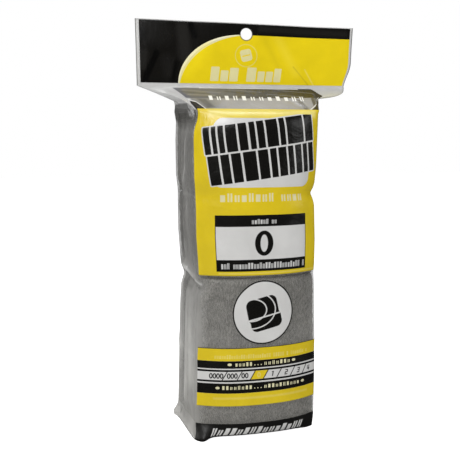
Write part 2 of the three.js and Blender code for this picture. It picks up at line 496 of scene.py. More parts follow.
# %% Places on the body
def split_round(u):
    """For film places round the tube: the side it is on, front or back, and the distance from
    the middle of that panel."""
    side = np.where(u < 0, -1.0, 1.0)
    away = np.abs(u)
    face = np.where(away <= HALF_ROUND, -1.0, 1.0)
    return side, face, np.where(away <= HALF_ROUND, away, 2 * HALF_ROUND - away)


def down_side_at(q):
    """0 at a panel's upright edge and 1 at the middle of the side."""
    return np.clip((q - HALF_PANEL) / HALF_SIDE, 0, 1)


def on_body(u, z):
    """Where the film lies on the body, at height z."""
    side, face, q = split_round(u)
    x_panel = np.interp(q, curve_length, curve_across)
    down_side = down_side_at(q)
    on_panel = q <= HALF_PANEL
    width = half_width(side, z)
    x = np.where(on_panel, x_panel * width / HALF_WIDTH, width)
    out = np.where(
        on_panel,
        SIDE_HALF_DEPTH + BELLY * belly_at(x_panel) * belly_share(z),
        SIDE_HALF_DEPTH * (1 - down_side),
    )
    # The tube keeps the crease of its flat days down the middle of each side.
    ridge = 2.4 * hump((1 - down_side) * SIDE_HALF_DEPTH, 9.0, 1.3)
    x = x + np.where(on_panel, 0.0, ridge * smooth_step(2, 30, z))
    # The folded base leaves a rounded ear at each foot, large at the front left, and at the
    # back left a small one that points sideways.
    front_left, back_left = (face < 0) & (side < 0), (face > 0) & (side < 0)
    low = hump(z, 8.0)
    ear = low * hump(q - HALF_PANEL + 6.5, 6.5)
    out = out + ear * np.where(front_left, 9.5, np.where(face < 0, 1.5, 3.0))
    corner = hump(q - HALF_PANEL, 8.0)
    x = x + corner * np.where(back_left, 3.4 * hump(z - 3.0, 5.0), 0.0)
    out = out - corner * low * np.where((face < 0) & (side > 0), 2.5, 0.0)
    # Where the neck begins, the front's left corner is drawn in.
    away = np.where(on_panel, smooth_step(15, HALF_PANEL, q), 1 - smooth_step(0, 0.5, down_side))
    x = x - drawn_in(z) * away * front_left
    # Between two tiers the film has nothing under it and dips, most near the upright edges.
    panel_dip = 0.35 + 0.8 * smooth_step(15.0, HALF_PANEL, q)
    out = out - between_tiers(z) * np.where(on_panel, panel_dip, 1.1 * (1 - down_side))
    return side * x, face * out, z * np.ones_like(x)


# %% Places on the neck and the header
def leaves_body(side, q):
    """Height at which the film leaves the body, higher on the sides."""
    return SHOULDER + np.where(side < 0, 6.5, 10.5) * smooth_step(0.0, 0.45, down_side_at(q))


PLY = 0.25  # half of the gap between the two plies in the header
CREASE_AT, CREASE_UP = 0.52, 0.56  # the neck's slope bends here, as a share of its run and rise
TWIST = math.tan(math.radians(6.0))  # the header is turned a little from the body
ROLL_OVER = 0.021  # and hangs a little lower at the right


def up_header_at(z):
    """0 at the header's foot and 1 at its top."""
    return np.clip((z - SEAL) / (TOP - SEAL), 0, 1)


def header_wave(x, z):
    """How far the header stands forward or back of its plane."""
    up = up_header_at(z)
    turned = -x * TWIST * (0.55 + 0.45 * up)
    curl = 2.5 * np.clip(-x / HALF_ROUND, 0, 1) ** 3 * up - 2.0 * np.clip(x / HALF_ROUND, 0, 1) ** 4
    ripple = 0.8 * np.sin(x / 17.0 + z / 31.0) * up
    ripple += 0.35 * np.sin(x / 7.5 - z / 11.0) * up * (1 - 0.4 * up)
    return turned + curl + ripple


def header_across(side, q, z):
    """How far across the header lies. Its right end curls forward at the foot, which narrows it."""
    curled = np.where(side > 0, 5.5, 0.0) * (q / HALF_ROUND) ** 6 * (1 - smooth_step(283, 306, z))
    return side * (q - curled)


def on_neck(u, v):
    side, face, q = split_round(u)
    leave = leaves_body(side, q)
    run = np.clip((v - leave) / (SEAL_UP - leave), 0, 1)
    x0, y0, z0 = on_body(u, leave)
    rise = np.where(
        run < CREASE_AT,
        CREASE_UP * run / CREASE_AT,
        CREASE_UP + (1 - CREASE_UP) * (run - CREASE_AT) / (1 - CREASE_AT),
    )
    on_side = smooth_step(0, 0.5, down_side_at(q))
    # The left flap runs straight out to the header. The right one goes out first, then up.
    shelf_out = np.where(side > 0, smooth_step(0.06, 0.94, run), run)
    shelf_up = np.where(side > 0, 0.25 * run + 0.75 * run**4, run)
    flare = run + (shelf_out - run) * on_side
    lift = rise + (shelf_up - rise) * on_side
    close = 1 - (1 - run) ** (1 + 0.4 * on_side)
    x = x0 + (header_across(side, q, SEAL) - x0) * flare
    y = y0 + (face * PLY + header_wave(side * q, SEAL) - y0) * close
    z = z0 + (SEAL - z0) * lift
    return x, y, z


def on_header(u, v):
    side, face, q = split_round(u)
    z = SEAL + (v - SEAL_UP)
    edge = np.sqrt(np.clip((HALF_ROUND - q) / 1.5, 0, 1))
    top = np.clip((TOP - z) / 1.2, 0, 1)
    x = header_across(side, q, z)
    y = face * PLY * edge * top + header_wave(x, z)
    return x, y, z - (x * ROLL_OVER + 0.3) * up_header_at(z)


# %% Folds drawn on the film
def crease(u, v, start, end, width, height):
    """A sharp-backed fold from start to end in film places: how far it lifts the film."""
    (u0, v0), (u1, v1) = start, end
    du, dv = u1 - u0, v1 - v0
    length = math.hypot(du, dv)
    along = ((u - u0) * du + (v - v0) * dv) / length**2
    off = np.abs((u - u0) * dv - (v - v0) * du) / length
    fade = smooth_step(-0.15, 0.2, along) * (1 - smooth_step(0.8, 1.15, along))
    return height * hump(off, width, 1.3) * fade


# %% The tube's mesh
ROUND_STEP = 1.5
round_places = np.arange(-2 * HALF_ROUND, 2 * HALF_ROUND, ROUND_STEP)
up_body = np.arange(0.0, 240.0, 1.6)
up_neck = np.linspace(240.0, SEAL_UP, 56)
up_header = np.linspace(SEAL_UP, SEAL_UP + TOP - SEAL, 34)[1:]
up_places = np.concatenate([up_body, up_neck, up_header])


def film_places():
    u, v = np.meshgrid(round_places, up_places)
    side, face, q = split_round(u)
    leave = leaves_body(side, q)
    body = on_body(u, np.minimum(v, leave))
    neck = on_neck(u, v)
    header = on_header(u, v)
    on_b, on_h = v <= leave, v > SEAL_UP
    xyz = [np.where(on_h, h, np.where(on_b, b, n)) for b, n, h in zip(body, neck, header)]
    return u, v, np.stack(xyz, -1)


u, v, film = film_places()


# %% Folds of the body's film
# Each fold is (start, end, width, height) in film places. A ridge stands out, a valley goes in,
# and the nip beside the second joint is the strongest: the film is drawn down over it.
EDGE = HALF_PANEL
FOLDS = [
    ((-2 * HALF_ROUND + EDGE, 130), (-EDGE + 3, 120), 3.2, -1.1),
    ((-2 * HALF_ROUND + EDGE + 14, 144), (-EDGE + 2, 125.5), 3.2, 3.2),
    ((-HALF_ROUND - 18, 262), (-HALF_ROUND - 6, 205), 2.6, 1.6),
    ((-HALF_ROUND + 16, 262), (-HALF_ROUND + 7, 214), 3.0, 1.2),
    ((-HALF_ROUND + 2, 214), (-HALF_ROUND + 12, 150), 2.6, 1.0),
    ((-HALF_ROUND + 8, 108), (-HALF_ROUND + 14, 22), 2.4, 0.9),
    ((EDGE - 6, 200), (HALF_ROUND + 10, 186), 3.2, -2.0),
    ((HALF_ROUND - 12, 262), (HALF_ROUND - 6, 150), 2.8, 1.4),
    ((HALF_ROUND + 10, 130), (HALF_ROUND + 2, 20), 2.8, 1.2),
    ((-88, 303), (-64, 274), 2.4, 0.9),
    ((-74, 306), (-60, 277), 2.2, -1.0),
    ((86, 303), (66, 284), 2.4, 0.9),
    ((-44, 307), (-28, 290), 2.4, -1.2),
    ((-8, 306), (4, 289), 2.6, 1.0),
    ((22, 307), (36, 290), 2.4, -1.3),
    ((-24, 284), (-34, 268), 2.6, 0.9),
    ((30, 284), (38, 268), 2.4, -1.3),
    ((120, 240), (150, 205), 3.5, 0.8),
    ((-150, 96), (-118, 60), 3.5, 0.8),
]


def outward(surface):
    """Unit directions across each ring of the film, away from the pack's middle."""
    along = np.roll(surface, -1, 1) - np.roll(surface, 1, 1)
    across = np.stack([along[..., 1], -along[..., 0]], -1)
    length = np.linalg.norm(across, axis=-1, keepdims=True)
    return np.concatenate([across / np.maximum(length, 1e-6), np.zeros_like(length)], -1)


below_seal = (1 - smooth_step(SEAL_UP - 6, SEAL_UP, v))[..., None]
lift = sum(crease(u, v, *fold) for fold in FOLDS)
film = film + outward(film) * lift[..., None] * below_seal

# The corners of the body are rounded by averaging each ring a few times along itself.
for _ in range(3):
    eased = (np.roll(film, 1, 1) + np.roll(film, -1, 1) + 2 * film) / 4
    keep = smooth_step(SEAL_UP - 20, SEAL_UP, v)[..., None]
    film = eased * (1 - keep) + film * keep
print("film grid", film.shape[:2])

# %% [markdown]
# The base is folded under like the end of a parcel, to a seal across the middle.

# %% The folded base
BASE_ROWS, BASE_FILM = 9, 38.0  # the film goes this far under, to the middle of the base
rim = film[0]
side0, _, q0 = split_round(round_places)
seal_x = side0 * np.minimum(q0, HALF_WIDTH - 4)
base_rows = []
for k in range(BASE_ROWS, 0, -1):
    inward = k / BASE_ROWS
    row = np.empty_like(rim)
    row[:, 0] = rim[:, 0] + (seal_x - rim[:, 0]) * inward**1.2
    row[:, 1] = rim[:, 1] * (1 - inward)
    row[:, 2] = 0.15 + 0.5 * math.sin(math.pi * inward) ** 2
    base_rows.append(row)
base = np.array(base_rows)
base_up = np.linspace(-BASE_FILM, -BASE_FILM / BASE_ROWS, BASE_ROWS)

points = np.concatenate([base, film])
heights = np.concatenate([base_up, up_places])
print("rows of film:", len(heights), "of them under the base:", BASE_ROWS)


# %% The bag as a mesh, with film places as its map
def make_bag():
    rows, columns = points.shape[:2]
    verts = (points.reshape(-1, 3) * MM).tolist()
    faces, places = [], []
    for j in range(rows - 1):
        for i in range(columns):
            k = (i + 1) % columns
            low_row, high_row = j * columns, (j + 1) * columns
            faces.append((low_row + i, low_row + k, high_row + k, high_row + i))
            start, end = round_places[i] * MM, (round_places[i] + ROUND_STEP) * MM
            low, high = heights[j] * MM, heights[j + 1] * MM
            places += [(start, low), (end, low), (end, high), (start, high)]
    mesh = bpy.data.meshes.new("film_bag")
    mesh.from_pydata(verts, [], faces)
    layer = mesh.uv_layers.new(name="film places")
    layer.data.foreach_set("uv", np.array(places, dtype=np.float32).ravel())
    mesh.shade_smooth()
    return add_object("film_bag", mesh)


bag = make_bag()
print("bag faces", len(bag.data.polygons))

# %% [markdown]
# ## Print shapes
#
# The print is fields of flat colour with hard edges. Each shape is a distance sum: how far a place
# on the film is outside the shape, turned into a mask with a fine soft edge. Three groups cover
# most of them: a box that can lean, tilt and have round corners, a ring, and a row of small blocks.

# %% The box, ring and block groups
PLACE = ["Across", "Up", "Middle across", "Middle up"]
FINE_EDGE = 0.25  # millimetres over which printed edges fade


def soft_edge(distance, softness):
    return distance.tree.math("SUBTRACT", 0.5, distance / softness, clamp=True)


def length_of(a, b):
    return a.tree.math("SQRT", a * a + b * b)


def make_box_group():
    names = PLACE + ["Half across", "Half up", "Lean", "Tilt", "Round", "Soft"]
    group, tree, given = new_group("print box", names)
    across, up, middle_across, middle_up, half_across, half_up, lean, tilt, round_, soft = given
    x, y = across - middle_across, up - middle_up
    cosine, sine = tree.math("COSINE", tilt), tree.math("SINE", tilt)
    along, upward = x * cosine + y * sine, y * cosine - x * sine
    along = along - upward * lean
    past_end = abs(along) - (half_across - round_)
    past_top = abs(upward) - (half_up - round_)
    corner = length_of(tree.math("MAXIMUM", past_end, 0.0), tree.math("MAXIMUM", past_top, 0.0))
    within = tree.math("MINIMUM", tree.math("MAXIMUM", past_end, past_top), 0.0)
    tree.give(Mask=soft_edge(corner + within - round_, soft))
    return group


def make_ring_group():
    names = PLACE + ["Half across", "Half up", "Inner across", "Inner up", "Soft"]
    group, tree, given = new_group("print ring", names)
    across, up, middle_across, middle_up, *sizes, soft = given
    x, y = across - middle_across, up - middle_up
    masks = []
    for wide, high in (sizes[:2], sizes[2:]):
        share = length_of(x / wide, y / high)
        masks.append(soft_edge((share - 1.0) * wide, soft))
    tree.give(Mask=tree.math("SUBTRACT", *masks, clamp=True))
    return group


# %% The group of small blocks
def make_blocks_group():
    """A row of small blocks with uneven heights and breaks, in the place of small wording."""
    names = ["Across", "Up", "Start", "End", "Low", "High", "Pitch", "Lean", "Seed", "Width"]
    group, tree, given = new_group("small blocks", names)
    across, up, start, end, low, high, pitch, lean, seed, width = given
    height = high - low
    raised = (up - low) / height
    x = across - raised * height * lean
    cells = (x - start) / pitch
    cell, inside = tree.math("FLOOR", cells), tree.math("FRACT", cells)
    key = cell + seed
    # Each block draws three numbers from a scattering sine: is it there, how high, is it split.
    there, tall, split = (
        tree.math("FRACT", tree.math("SINE", key * turn) * 437.585)
        for turn in (12.9898, 78.233, 37.719)
    )
    top = tree.map(tall, 0.35, 0.65, 0.78, 1.0)
    soft_up, soft_across = FINE_EDGE / height, FINE_EDGE / pitch
    from_middle = abs(inside - 0.5)
    slit = soft_edge(from_middle - 0.08, soft_across) * tree.math("GREATER_THAN", split, 0.4)
    mask = soft_edge(from_middle - width, soft_across) * (1.0 - slit)
    for part in (
        soft_edge(raised - top, soft_up), soft_edge(raised * -1.0, soft_up),
        tree.math("GREATER_THAN", there, 0.15),
        tree.math("GREATER_THAN", x, start), tree.math("LESS_THAN", x, end),
    ):
        mask = mask * part
    tree.give(Mask=mask)
    return group


BOX, RING, BLOCKS = make_box_group(), make_ring_group(), make_blocks_group()
print("nodes in the print groups:", [len(group.nodes) for group in (BOX, RING, BLOCKS)])

# %% [markdown]
# A press lays the inks. Shapes are only described at first, as a group and its numbers, and become
# masks when they are laid. In a list each mask is joined to the rest as soon as it is made, because
# a renderer keeps few of them at a time.

# %% The press and its inks
NOTHING = 0.001  # inner size of a ring that is a full disc


class Press:
    """Prints shapes on a film. Lengths are in millimetres of film, and each colour covers the
    last. A shape is what box, ring, stroke and wording describe, a mask, or a list of those."""

    def __init__(self, tree, across, up, bare):
        self.tree, self.across, self.up, self.bare = tree, across, up, bare
        self.colour, self.ink = bare, 0.0

    def box(self, x0, x1, y0, y1, lean=0.0, tilt=0.0, round_=0.0, soft=FINE_EDGE):
        middle, half = ((x0 + x1) / 2, (y0 + y1) / 2), ((x1 - x0) / 2, (y1 - y0) / 2)
        return BOX, (*middle, *half, lean, tilt, round_, soft)

    def ring(self, x, y, outer, inner=NOTHING, soft=FINE_EDGE):
        outer, inner = (s if isinstance(s, tuple) else (s, s) for s in (outer, inner))
        return RING, (x, y, *outer, *inner, soft)

    def stroke(self, x0, y0, x1, y1, width, soft=0.3):
        """A straight bar with round ends, from one point to another."""
        half, tilt = math.hypot(x1 - x0, y1 - y0) / 2, math.atan2(y1 - y0, x1 - x0)
        middle = ((x0 + x1) / 2, (y0 + y1) / 2)
        return BOX, (*middle, half, width / 2, 0.0, tilt, width / 2, soft)

    def strokes(self, rows):
        return [self.stroke(*row) for row in rows]

    def wording(self, x0, x1, y0, y1, seed, letters, lean=0.0, width=0.34):
        """Small blocks, as many as the given letters, in the place of a line of wording."""
        return BLOCKS, (x0, x1, y0, y1, (x1 - x0) / letters, lean, seed, width)

    def polygon(self, corners, soft=0.4):
        """The mask of a convex patch, its corners given counter-clockwise."""
        outside = -1000.0
        for (x0, y0), (x1, y1) in zip(corners, corners[1:] + corners[:1]):
            length = math.hypot(x1 - x0, y1 - y0)
            nx, ny = (y1 - y0) / length, (x0 - x1) / length
            level = self.tree.math("MULTIPLY_ADD", self.up, ny, -(x0 * nx + y0 * ny))
            past = self.tree.math("MULTIPLY_ADD", self.across, nx, level)
            outside = self.tree.math("MAXIMUM", outside, past)
        return soft_edge(outside, soft)

    def mask_of(self, shape):
        if isinstance(shape, Value):
            return shape
        if isinstance(shape, list):
            union = 0.0
            for one in shape:
                union = self.tree.math("MAXIMUM", union, self.mask_of(one))
            return union
        group, numbers = shape
        values = dict(enumerate((self.across, self.up, *numbers)))
        return self.tree.node("ShaderNodeGroup", values, node_tree=group)

    def cut(self, shape, by):
        masks = self.mask_of(shape), self.mask_of(by)
        return self.tree.math("SUBTRACT", *masks, clamp=True)

    def lay(self, shape, colour, cover=1.0, within=None):
        """Prints a shape in a colour. cover is how much of what lies under it is hidden."""
        mask = self.mask_of(shape)
        if within is not None:
            mask = mask * within
        if cover != 1.0:
            mask = mask * cover
        self.colour = self.tree.colour(mask, self.colour, colour)
        self.ink = self.tree.math("MAXIMUM", self.ink, mask)


INK_BLACK, INK_WHITE = (0.0060, 0.0054, 0.0044, 1), (0.70, 0.695, 0.68, 1)
INK_YELLOW, HEADER_YELLOW = (0.78, 0.585, 0.010, 1), (0.90, 0.69, 0.010, 1)
INK_CREAM, PALE_YELLOW = (0.80, 0.76, 0.48, 1), (0.95, 0.86, 0.34, 1)
FOLD_SHADE, FOLD_GLINT = (0.10, 0.098, 0.09, 1), (0.86, 0.855, 0.84, 1)

# %% [markdown]
# ## The print of the neck and the front
#
# The neck shows gathered film in painted shade and painted highlights, with a line of wording.
# Below it a yellow label reaches from edge to edge, with a white panel of slanted blocks and a
# numbered box. Under that a roundel lies on clear film, then come bands with the scale of grades,
# and a black foot.

# %% Digits of the scale
DIGIT_LEAN = 0.18
ZERO = (1.48, 2.25), (0.58, 1.3)  # half sizes of the outer and the inner edge
BARS = {  # left, right, foot and top of each bar, from the digit's middle
    1: [(-0.1, 0.75, -2.1, 2.1), (-0.8, 0.2, 1.2, 1.9)],
    2: [
        (-1.2, 1.2, 1.45, 2.15), (0.5, 1.3, 0.0, 2.0), (-1.2, 1.2, -0.35, 0.4),
        (-1.3, -0.5, -2.0, 0.0), (-1.3, 1.3, -2.15, -1.4),
    ],
    3: [
        (-1.2, 1.2, 1.45, 2.15), (0.5, 1.3, -2.0, 2.0), (-0.8, 1.2, -0.35, 0.4),
        (-1.3, 1.2, -2.15, -1.4),
    ],
    4: [(0.2, 1.0, -2.1, 2.1), (-1.4, 1.5, -1.1, -0.4), (-1.4, -0.7, -0.8, 1.9)],
}


def digit(press, number, x, y):
    if number == 0:
        return [press.ring(x, y, *ZERO)]
    made = []
    for x0, x1, y0, y1 in BARS[number]:
        shift = DIGIT_LEAN * (y0 + y1) / 2
        made.append(press.box(x + x0 + shift, x + x1 + shift, y + y0, y + y1, lean=DIGIT_LEAN))
    return made


# %% The neck's layout
def print_label(press):
    """The label's yellow. It reaches a little over the shoulder, so the neck's print has it too."""
    press.lay(press.box(-53.4, 57, 134, 266.5, round_=1.5), INK_YELLOW)
    # A painted highlight lies along the label's top bend.
    press.lay(press.box(-44, 49, 259, 265.6, soft=3.5), (0.95, 0.87, 0.36, 1), 0.55)


def print_neck(press):
    box, polygon, lay = press.box, press.polygon, press.lay

    # Where the film is gathered in the neck it lies in many thin folds, and painted shade darkens
    # it:
    # darkest below the seal, paler under the bend, and black where a corner tucks in under a bright
    # edge.
    painted_neck_shade = box(-54, 54, 262, 290, soft=2.0), box(-30, 54, 262, 290, soft=14.0)
    left = polygon([(-48, 284), (-43, 267), (-36, 270), (-40, 283)], 3.0)
    right_end = polygon([(51, 287), (50, 273), (55, 277.5), (64, 292), (62, 295)], 1.0)
    fold = polygon([(36, 284), (40, 264), (44, 264), (41, 284)], 2.0)
    for shape, colour, cover in (
        (painted_neck_shade[0], (0.17, 0.17, 0.165, 1), 0.85), (painted_neck_shade[1], (0.39, 0.385, 0.39, 1), 0.85),
        (left, (0.05, 0.05, 0.05, 1), 0.6), (right_end, (0.06, 0.058, 0.05, 1), 0.85),
        (fold, (0.08, 0.078, 0.075, 1), 0.7),
    ):
        lay(shape, colour, cover)

    # Painted shade on the facet under the seal, bluish at the left and brown at the right, with
    # painted highlights and shade along its fine wrinkles.
    facet = polygon([
        (-62.7, 305.5), (-58, 282), (-40, 283), (50, 284.5), (60, 284.5), (69, 297), (56, 307),
    ])
    for start, soft, colour in (
        (-90, 1.0, (0.105, 0.105, 0.118, 1)), (-12, 40.0, (0.040, 0.042, 0.055, 1)),
        (36, 30.0, (0.014, 0.009, 0.001, 1)),
    ):
        lay(box(start, 120, 250, 340, soft=soft), colour, 0.93, within=facet)
    lay(press.strokes([
        (-56, 301, -24, 296, 1.2, 1.8), (-54, 291, -30, 290, 1.4, 2.0),
        (-16, 303, 10, 298, 1.2, 2.0), (14, 294, 44, 290, 1.0, 2.0), (26, 303, 58, 297, 1.0, 1.6),
    ]), (0.42, 0.415, 0.39, 1), 0.35)
    lay(press.strokes([
        (-58, 297, -34, 293, 1.2, 2.0), (-20, 299, 6, 293, 1.4, 2.4),
        (12, 304.5, 30, 301, 1.4, 1.6), (-34, 305, 18, 305, 1.0, 1.4),
    ]), (0.010, 0.009, 0.007, 1), 0.5)
    # A painted highlight runs along the film just below the seal.
    lay(box(-40, 44, SEAL_UP - 3.6, SEAL_UP - 2.4, soft=0.5), (0.85, 0.85, 0.83, 1), 0.9)

    # Painted shadow in the corners' tucks, and painted highlights on the bright edges over them
    lay([
        polygon([(-57.5, 274), (-54.3, 264), (-45.1, 265.4), (-50.5, 277.5), (-56, 281)]),
        polygon([(63, 291), (55, 276.5), (60.5, 272), (66.5, 278), (69.5, 298)]),
        polygon([(46, 266), (55.6, 265), (60.5, 272), (55, 276.5)]),
    ], (0.008, 0.007, 0.006, 1), 0.97)
    lay(press.strokes([
        (-57.5, 281.6, -50, 278.2, 1.4), (-50, 278.2, -44.4, 265.6, 0.8),
        (64, 293, 55, 277, 0.8), (55, 277, 45, 266.8, 1.0),
    ]), (0.85, 0.84, 0.80, 1), 0.9)

    print_label(press)
    wording = press.wording(-39, 45, 281.5, 289.5, 24, 12, lean=0.1, width=0.22)
    lay(wording, (0.95, 0.95, 0.93, 1))


# %% The rows of large blocks, and the scale
SLANT = math.radians(7.5)  # how much the rows of large blocks climb
UPPER_BLOCKS = [(-45.4, -29.9), (-28.6, -12.2), (-10.5, 7.0), (5.8, 25.6), (24.5, 45.6)]
LOWER_BLOCKS = [(-41.4, -16.0), (-14.5, 5.4), (6.8, 27.4), (28.8, 47.9)]
SPLITS = ((0.36, 0.68), (0.55,), (0.3, 0.72))  # shares of a block's width, in turn
GRADES_UP, GRADE_LEAN = (49.6, 56.4), 0.585  # foot and top of the scale, and its strokes' lean


def print_blocks(press):
    """Two rows of large blocks on white, split by thin lines, in the place of large words."""
    blocks, rims, splits = [], [], []
    for spans, low, high, level in (
        (UPPER_BLOCKS, 228.9, 250.2, -45.8), (LOWER_BLOCKS, 205.0, 227.9, -42.0),
    ):
        for number, (x0, x1) in enumerate(spans):
            climb = ((x0 + x1) / 2 - level) * math.tan(SLANT)
            y0, y1 = low + climb, high + climb
            for made, more, round_ in ((blocks, 0.0, 0.7), (rims, 0.9, 1.2)):
                size = (x0 - more, x1 + more, y0 - more, y1 + more)
                made.append(press.box(*size, tilt=SLANT, round_=round_))
            for share in SPLITS[number % 3]:
                middle = x0 + share * (x1 - x0)
                size = (middle - 0.75, middle + 0.75, y0 - 0.5, y1 + 0.5)
                splits.append(press.box(*size, tilt=SLANT))
    for shapes, colour in ((rims, INK_WHITE), (blocks, INK_BLACK), (splits, INK_WHITE)):
        press.lay(shapes, colour)


def print_scale(press):
    """The scale of grades from 0000 to 4. The pack's own grade is picked out in yellow."""
    low, high = GRADES_UP
    middle = (low + high) / 2
    press.lay(press.box(-7.2, 3.7, low, high, lean=GRADE_LEAN), INK_YELLOW)
    marks = [
        press.box(x - 0.45, x + 0.45, low, high, lean=GRADE_LEAN)
        for x in (-30.2, -18.1, -7.2, 3.7, 15.0, 27.4, 39.6)
    ]
    zeros = (-41.4, -38.5, -35.6, -32.7, -27.0, -24.1, -21.2, -15.3, -12.4)
    grades = [(0, x) for x in zeros] + [(1, 9.3), (2, 21.5), (3, 33.3), (4, 44.5)]
    for number, x in grades:
        marks += digit(press, number, x, middle)
    press.lay(marks, INK_BLACK)
    press.lay(digit(press, 0, -2.1, middle), INK_CREAM, 0.3)


# %% The front's layout
def print_front(press):
    box, ring, wording, lay = press.box, press.ring, press.wording, press.lay

    def band(low, high):
        return box(-53, 56, low, high)

    # The label, its white panel and the rows of blocks
    print_label(press)
    lay(box(-38.8, 43.2, 204, 258, round_=7.0), INK_WHITE)
    print_blocks(press)
    lay(wording(-34.3, 38.2, 192.8, 199.5, 3, 13), INK_CREAM, 0.85)

    # The numbered box
    lay(box(-37.9, 40.6, 137.5, 182.3), INK_BLACK)
    lay(box(-37.3, 40, 146.9, 173.2), INK_WHITE)
    lay(ring(1.6, 159.8, (7.7, 10.05), (3.1, 6.9)), INK_BLACK)
    lay(wording(-9.1, 12.3, 175.2, 179.1, 5, 9), INK_WHITE, 0.9)
    lay(wording(-34.3, 39.2, 139.6, 144.4, 8, 30), INK_WHITE, 0.9)

    # The roundel, with a folded pad as its sign
    lay(ring(1.4, 104, 26.0), INK_BLACK)
    lay(ring(1.4, 104, 24.8), INK_WHITE)
    turned = {"tilt": 0.22, "round_": 5.0}
    pad = [box(-12.6, 14, 96, 116, **turned), box(-9.6, 17, 90, 104, **turned)]
    folds = [
        ring(-8.5, 106, (13.0, 9.5), (12.0, 8.5)), ring(-8.5, 106, (20.5, 15.5), (19.5, 14.5)),
        box(-16, 16, 99.2, 100.4, tilt=0.22, round_=0.5),
    ]
    lay(press.cut(pad, folds), INK_BLACK)

    # The bands, with a row of wording between small signs above and below the scale of grades
    lay(band(65, 75.5), INK_YELLOW)
    lay(band(75.2, 75.8), INK_BLACK)
    lay(wording(-38.8, 42.8, 66.8, 70.2, 12, 42), PALE_YELLOW, 0.4)
    lay(band(38.5, 65), INK_BLACK)
    for low, start, end, signs_at, letters, seed in (
        (60.7, -22.2, 25.4, (-26.2, 28.4), (5, 7), 14),
        (41.6, -32.7, 34.6, (-35.8, 37.9), (8, 10), 17),
    ):
        lay(wording(start, -7.4, low, low + 3.1, seed, letters[0], width=0.28), INK_CREAM)
        lay(wording(1.8, end, low, low + 3.1, seed + 5, letters[1], width=0.28), INK_CREAM)
        signs = [ring(x, low + 1.5, (1.7, 1.1)) for x in signs_at]
        lay(signs + [ring(x, low + 0.6, 0.45) for x in (-5.6, -2.9, -0.2)], INK_CREAM)
    lay([band(58, 59), band(*GRADES_UP), band(46.8, 48)], INK_WHITE)
    print_scale(press)
    lay(band(27.8, 38.5), INK_YELLOW)

    # Painted highlights: light catches the edge of each yellow field where the film bends over it,
    # and painted shade lies along the foot of the lower band and of the label.
    glints = [box(-39, 43, 33.8, 35, soft=1.8), box(-36, 55, 135.5, 136.4, soft=0.9)]
    lay(glints, PALE_YELLOW, 0.32)
    lay([band(27.6, 28.3), box(-53, 56.8, 133.8, 134.6)], (0.26, 0.20, 0.03, 1), 0.5)

    # The nip's fold comes round the corner from the left side, in a painted highlight over painted
    # shade.
    lay(press.stroke(-66, 130.5, -52, 126.4, 1.8, 1.6), FOLD_GLINT, 0.45)
    lay(press.stroke(-66, 122.6, -50.5, 123.8, 2.2, 2.4), FOLD_SHADE, 0.6)

    # The foot
    lay(box(-54, 54.5, -30, 13.3), INK_BLACK)
    lay(wording(-41.6, 43.2, 3.0, 9.6, 21, 16, lean=0.3), INK_WHITE)


# %% [markdown]
# ## The header's print
#
# Both plies carry it: black, with a yellow field under a long curve. On the yellow lie an emblem,
# which is a small pad in a pale ring, and a row of plain bars.

# %% The header's layout
HEADER_FOOT = 286.4  # where its print begins
ARC_ACROSS, ARC_UP, ARC_HALF = -2.6, 285.6, (53.8, 40.8)  # the yellow field's curve
EMBLEM_TILT = 0.25


